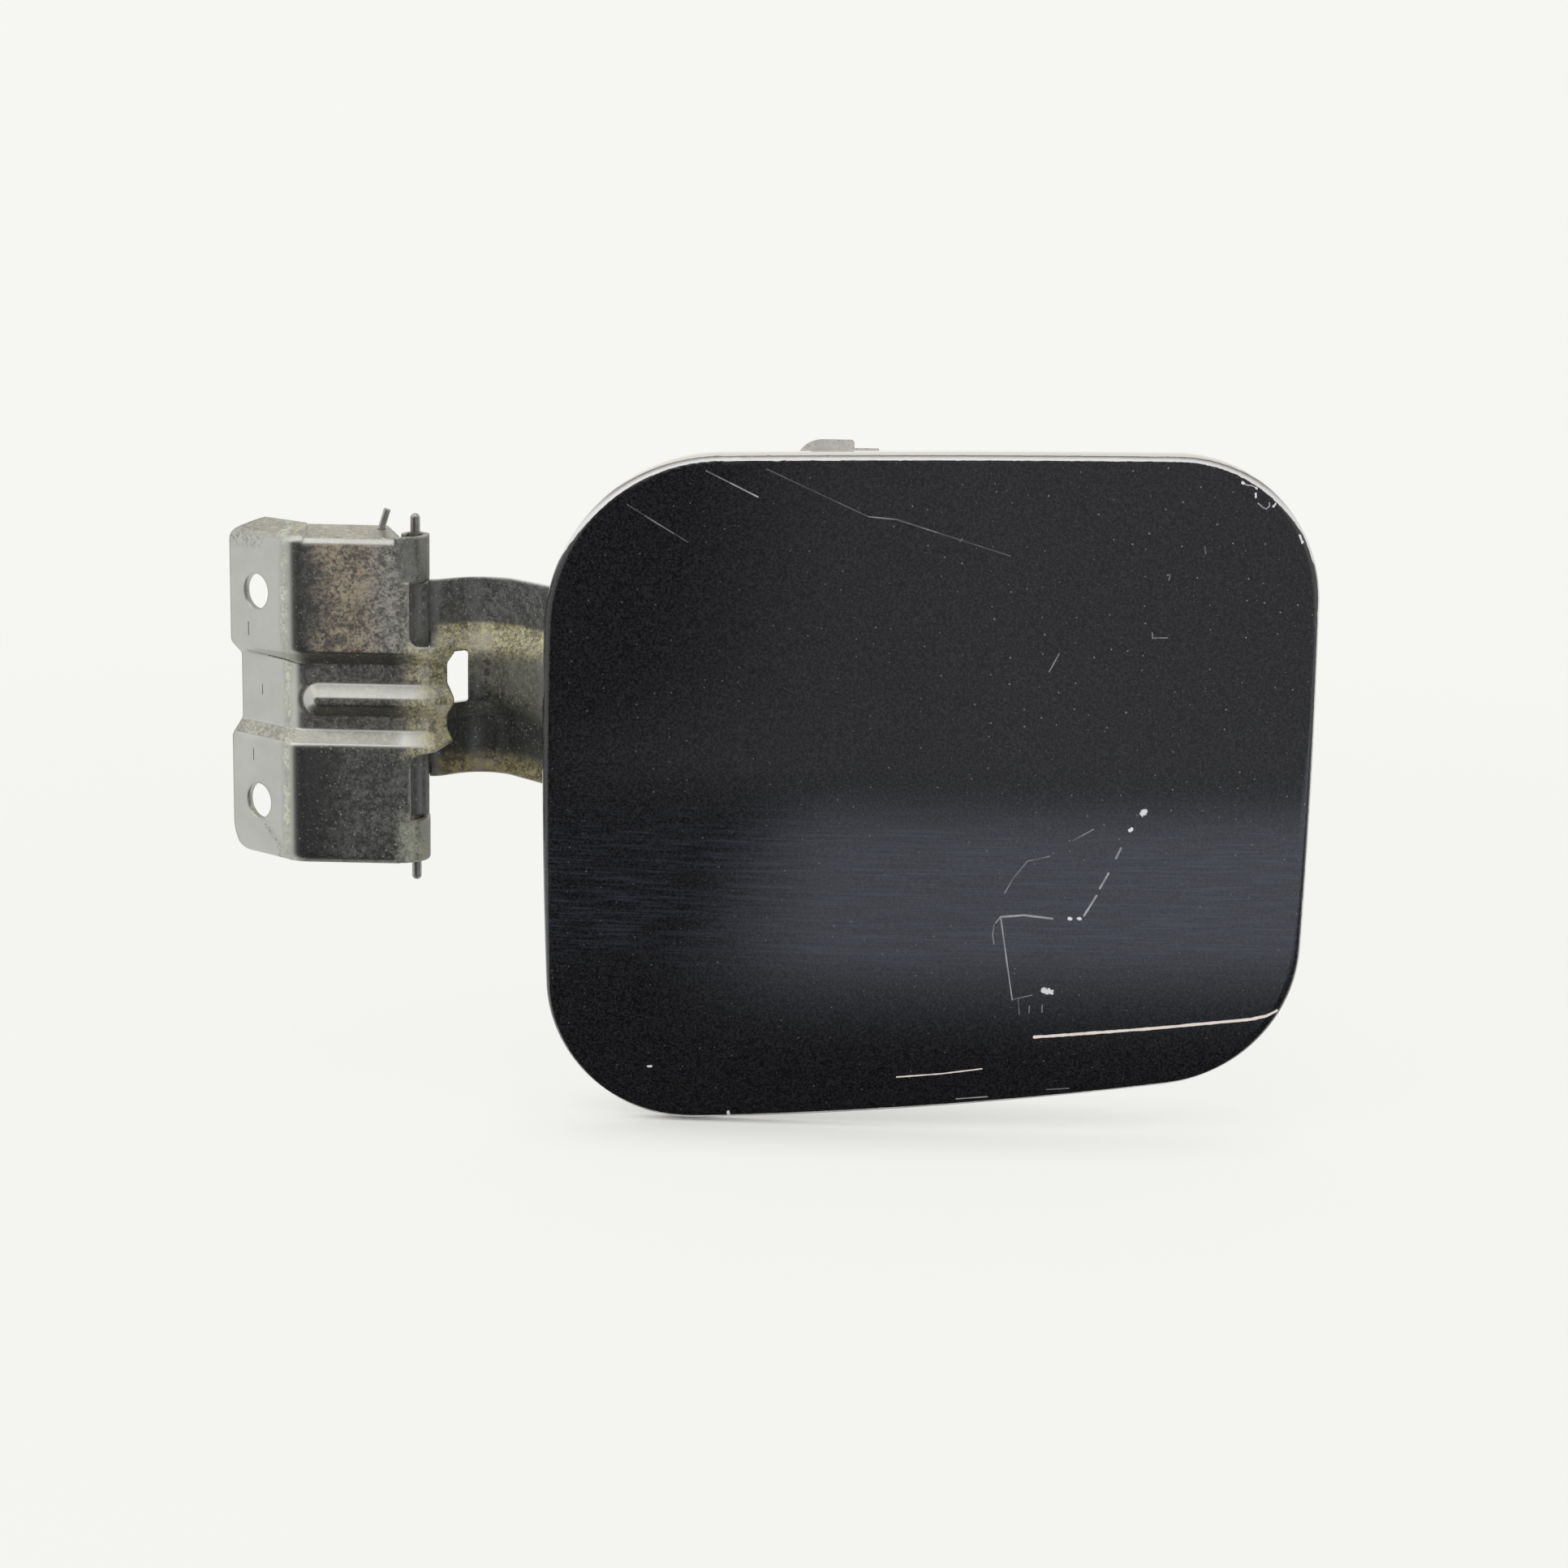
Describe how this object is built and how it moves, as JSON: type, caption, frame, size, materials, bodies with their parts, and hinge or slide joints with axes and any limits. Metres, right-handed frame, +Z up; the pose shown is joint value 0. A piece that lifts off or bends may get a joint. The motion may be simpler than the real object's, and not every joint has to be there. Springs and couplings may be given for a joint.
{
  "type": "car fuel door",
  "caption": "Crowned painted steel fuel door for a car body, on a pressed gooseneck hinge with a bolt-on bracket, a wire spring, a lock loop and rubber stops.",
  "frame": {"origin": "middle of the two bolt holes on the bracket flange's mating face", "axes": "+X from the bracket across the open lid to its free edge, +Y from the lid's outer face to its back, +Z up along the hinge pin"},
  "size_m": [0.2117, 0.0327, 0.1332],
  "materials": {
    "lid_paint": "gloss dark blue-black metallic paint, scratched",
    "inner_coat": "dull dark primer and overspray",
    "hinge_steel": "dull zinc plate, stained and dusty",
    "pin_steel": "dull zinc",
    "spring_steel": "dull drawn wire",
    "striker_steel": "zinc plated",
    "hanger_steel": "dull grey primer",
    "stop_rubber": "matt black rubber"
  },
  "bodies": {
    "bracket": {"hinge_bracket": "hinge_steel", "hinge_pin": "pin_steel", "hinge_spring": "spring_steel"},
    "lid": {"outer_panel": "lid_paint", "inner_panel": "inner_coat", "hinge_arm": "hinge_steel", "latch_striker": "striker_steel", "cap_hanger": "hanger_steel", "bump_stop_upper": "stop_rubber", "bump_stop_lower": "stop_rubber"}
  },
  "joints": [
    {"name": "lid_hinge", "type": "hinge", "parent": "bracket", "child": "lid", "pos_m": [0.03119, 0.00052, 0], "axis": [0, 0, 1], "range_deg": [0, 92], "stiffness_Nm_per_rad": 0.06, "springref_deg": -20.05, "deforming": ["hinge_spring"]}
  ]
}
